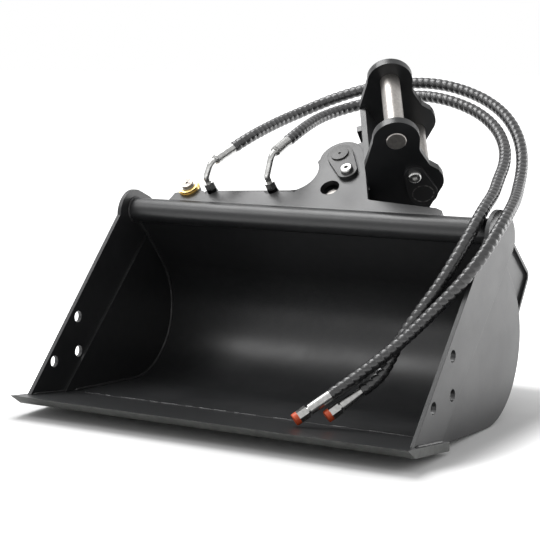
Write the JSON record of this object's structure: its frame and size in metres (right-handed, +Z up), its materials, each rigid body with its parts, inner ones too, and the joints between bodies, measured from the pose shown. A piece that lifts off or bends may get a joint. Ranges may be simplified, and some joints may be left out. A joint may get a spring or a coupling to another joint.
{
  "type": "tilt bucket",
  "caption": "Wide grading bucket on a tilting pin-on head, swung sideways by a hydraulic cylinder fed by two guarded hoses.",
  "frame": {"origin": "below the middle of the bucket and its tilted head, level with the lowest point of the shell", "axes": "+X to the right across the width seen from the open mouth, -Y out of the mouth, +Z up"},
  "size_m": [0.8393, 0.7438, 0.6593],
  "materials": {
    "black_paint": "satin",
    "pin_steel": "satin",
    "chrome_rod": "polished",
    "bronze": "satin",
    "zinc": "satin",
    "yellow_zinc": "satin",
    "black_fitting": "satin",
    "hose_guard": "satin",
    "orange_cap": "matte"
  },
  "bodies": {
    "bucket": {"anchor_clip": "pin_steel", "anchor_pin": "pin_steel", "anchor_washer_inner": "yellow_zinc", "anchor_washer_outer": "yellow_zinc", "back_stiffener": "black_paint", "bracket_web_left": "black_paint", "bracket_web_middle": "black_paint", "bracket_web_right": "black_paint", "cheek_left": "black_paint", "cheek_right": "black_paint", "cutting_edge": "black_paint", "end_cap_a": "orange_cap", "end_cap_b": "orange_cap", "end_ferrule_a": "zinc", "end_ferrule_b": "zinc", "end_nut_a": "zinc", "end_nut_b": "zinc", "hose_a": "hose_guard", "hose_b": "hose_guard", "shell": "black_paint", "side_cutter_left": "black_paint", "side_cutter_right": "black_paint", "tilt_flag_bolt": "zinc", "tilt_pin": "pin_steel", "tilt_pin_flag": "black_paint", "tilt_plate_front": "black_paint", "tilt_plate_rear": "black_paint", "top_tube": "black_paint"},
    "barrel": {"barrel_base_eye": "black_paint", "cylinder_barrel": "black_paint", "cylinder_gland": "black_paint", "port_adapter_a": "black_fitting", "port_adapter_b": "black_fitting", "swivel_nut_a": "zinc", "swivel_nut_b": "zinc", "elbow_a": "zinc", "elbow_b": "zinc", "ferrule_a": "zinc", "ferrule_b": "zinc"},
    "rod": {"piston_rod": "chrome_rod", "piston": "pin_steel", "rod_eye": "black_paint", "rod_pin": "pin_steel"},
    "head": {"head_base_plate": "black_paint", "ear_near": "black_paint", "ear_far": "black_paint", "hub_tube": "black_paint", "hub_bush_front": "bronze", "hub_bush_rear": "bronze", "lever_plate_front": "black_paint", "lever_plate_rear": "black_paint", "rod_pin_end_front": "pin_steel", "rod_pin_end_rear": "pin_steel", "dipper_pin": "pin_steel", "link_pin": "pin_steel", "link_pin_flag": "black_paint", "dipper_pin_flag": "black_paint", "link_flag_bolt": "zinc", "dipper_flag_bolt": "zinc"}
  },
  "joints": [
    {"name": "tilt", "type": "hinge", "parent": "bucket", "child": "head", "pos_m": [0.018, 0.1604, 0.468], "axis": [0, -0.6361, 0.7716], "range_deg": [0, 70]},
    {"name": "cylinder_swing", "type": "hinge", "parent": "bucket", "child": "barrel", "pos_m": [-0.282, 0.07706, 0.3993], "axis": [0, -0.6361, 0.7716], "range_deg": [0, 8.74], "deforming": ["hose_a", "hose_b"]},
    {"name": "rod_travel", "type": "slide", "parent": "barrel", "child": "rod", "axis": [0.9973, 0.057, 0.047], "range_m": [0, 0.08254]}
  ],
  "couplings": [
    {"joint": "cylinder_swing", "follows": "tilt", "ratio": 0.1248},
    {"joint": "rod_travel", "follows": "tilt", "m_per_rad": 0.067562}
  ]
}
